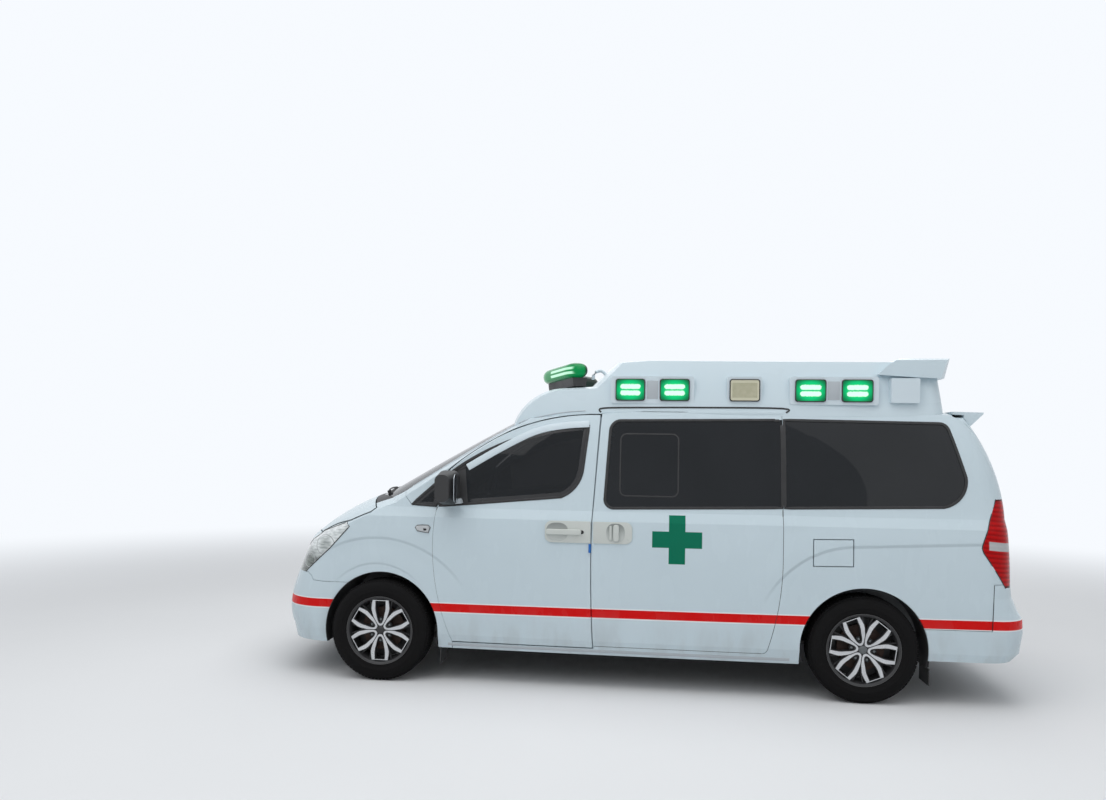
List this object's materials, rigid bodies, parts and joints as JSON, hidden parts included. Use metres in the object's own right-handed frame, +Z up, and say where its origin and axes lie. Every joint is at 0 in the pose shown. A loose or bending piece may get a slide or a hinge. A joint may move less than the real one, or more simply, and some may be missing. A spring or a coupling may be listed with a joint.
{
  "type": "high-roof ambulance van",
  "caption": "Ambulance van with a raised roof, opening front doors, tailgate, bonnet and fuel flap, steered front wheels and rolling wheels.",
  "frame": {"origin": "on the ground under the middle of the vehicle", "axes": "+X to the rear, +Y to the vehicle's right side, +Z up"},
  "size_m": [5.1481, 2.24, 2.2579],
  "materials": {
    "paint": "white gloss paint",
    "tinted_glass": "dark tinted",
    "black_plastic": "grained black",
    "lamp_clear": "clear lens",
    "lamp_red": "red lens",
    "lamp_green": "green lens",
    "white_plastic": "satin white",
    "underbody_steel": "black underbody paint",
    "engine_iron": "as cast",
    "seat_fabric": "woven",
    "tyre_rubber": "matt rubber",
    "alloy": "machined face"
  },
  "bodies": {
    "body": {"body_side_left": "paint", "body_side_right": "paint", "fixed_side_glass": "tinted_glass", "windscreen": "tinted_glass", "fender_left": "paint", "fender_right": "paint", "front_bumper": "paint", "grille": "black_plastic", "headlamps": "lamp_clear", "rear_bumper": "paint", "tail_lamps": "lamp_red", "sliding_door_left": "paint", "sliding_door_right": "paint", "sliding_door_glass": "tinted_glass", "sliding_door_handles": "white_plastic", "roof_cap": "paint", "roof_wing": "paint", "light_bar_base": "black_plastic", "light_bar_lens": "lamp_green", "roof_lamp_housings": "white_plastic", "roof_lamp_lenses": "lamp_green", "floor_pan": "underbody_steel", "bulkhead": "black_plastic", "cowl_panel": "black_plastic", "engine_block": "engine_iron", "drive_line": "underbody_steel", "rear_axle_beam": "underbody_steel", "exhaust": "underbody_steel", "fuel_tank": "underbody_steel", "mud_flaps": "black_plastic", "dashboard": "black_plastic", "steering_wheel": "black_plastic", "front_seats": "seat_fabric", "attendant_bench": "seat_fabric", "front_subframe": "underbody_steel"},
    "front_door_left": {"front_door_left": "paint", "door_glass_left": "tinted_glass", "mirror_left": "black_plastic", "door_handle_left": "white_plastic"},
    "front_door_right": {"front_door_right": "paint", "door_glass_right": "tinted_glass", "mirror_right": "black_plastic", "door_handle_right": "white_plastic"},
    "tailgate": {"tailgate": "paint", "tailgate_glass": "tinted_glass", "tailgate_lip": "paint"},
    "bonnet": {"bonnet": "paint"},
    "fuel_flap": {"fuel_flap": "paint"},
    "knuckle_left": {"knuckle_left": "underbody_steel"},
    "knuckle_right": {"knuckle_right": "underbody_steel"},
    "wheel_front_left": {"wheel_front_left": "alloy", "tyre_front_left": "tyre_rubber"},
    "wheel_front_right": {"wheel_front_right": "alloy", "tyre_front_right": "tyre_rubber"},
    "wheel_rear_left": {"wheel_rear_left": "alloy", "tyre_rear_left": "tyre_rubber"},
    "wheel_rear_right": {"wheel_rear_right": "alloy", "tyre_rear_right": "tyre_rubber"}
  },
  "joints": [
    {"name": "front_door_left_hinge", "type": "hinge", "parent": "body", "child": "front_door_left", "pos_m": [-1.313, -0.948, 0.95], "axis": [0, -0.0611, -0.9981], "range_deg": [0, 68]},
    {"name": "front_door_right_hinge", "type": "hinge", "parent": "body", "child": "front_door_right", "pos_m": [-1.313, 0.948, 0.95], "axis": [0, -0.0611, 0.9981], "range_deg": [0, 68]},
    {"name": "tailgate_hinge", "type": "hinge", "parent": "body", "child": "tailgate", "pos_m": [2.157, 0, 1.858], "axis": [0, -1, 0], "range_deg": [0, 85]},
    {"name": "bonnet_hinge", "type": "hinge", "parent": "body", "child": "bonnet", "pos_m": [-1.715, 0, 1.16], "axis": [0, 1, 0], "range_deg": [0, 50]},
    {"name": "fuel_flap_hinge", "type": "hinge", "parent": "body", "child": "fuel_flap", "pos_m": [1.185, -0.9485, 0.963], "axis": [0, -0.0311, -0.9995], "range_deg": [0, 90]},
    {"name": "steering_left", "type": "hinge", "parent": "body", "child": "knuckle_left", "pos_m": [-1.705, -0.8, 0.345], "axis": [0, 0, 1], "range_deg": [-35, 35]},
    {"name": "steering_right", "type": "hinge", "parent": "body", "child": "knuckle_right", "pos_m": [-1.705, 0.8, 0.345], "axis": [0, 0, 1], "range_deg": [-35, 35]},
    {"name": "wheel_front_left_spin", "type": "hinge", "parent": "knuckle_left", "child": "wheel_front_left", "pos_m": [-1.705, -0.8425, 0.345], "axis": [0, -1, 0], "continuous": true},
    {"name": "wheel_front_right_spin", "type": "hinge", "parent": "knuckle_right", "child": "wheel_front_right", "pos_m": [-1.705, 0.8425, 0.345], "axis": [0, -1, 0], "continuous": true},
    {"name": "wheel_rear_left_spin", "type": "hinge", "parent": "body", "child": "wheel_rear_left", "pos_m": [1.495, -0.83, 0.345], "axis": [0, -1, 0], "continuous": true},
    {"name": "wheel_rear_right_spin", "type": "hinge", "parent": "body", "child": "wheel_rear_right", "pos_m": [1.495, 0.83, 0.345], "axis": [0, -1, 0], "continuous": true}
  ],
  "couplings": [
    {"joint": "steering_right", "follows": "steering_left", "ratio": 1}
  ]
}
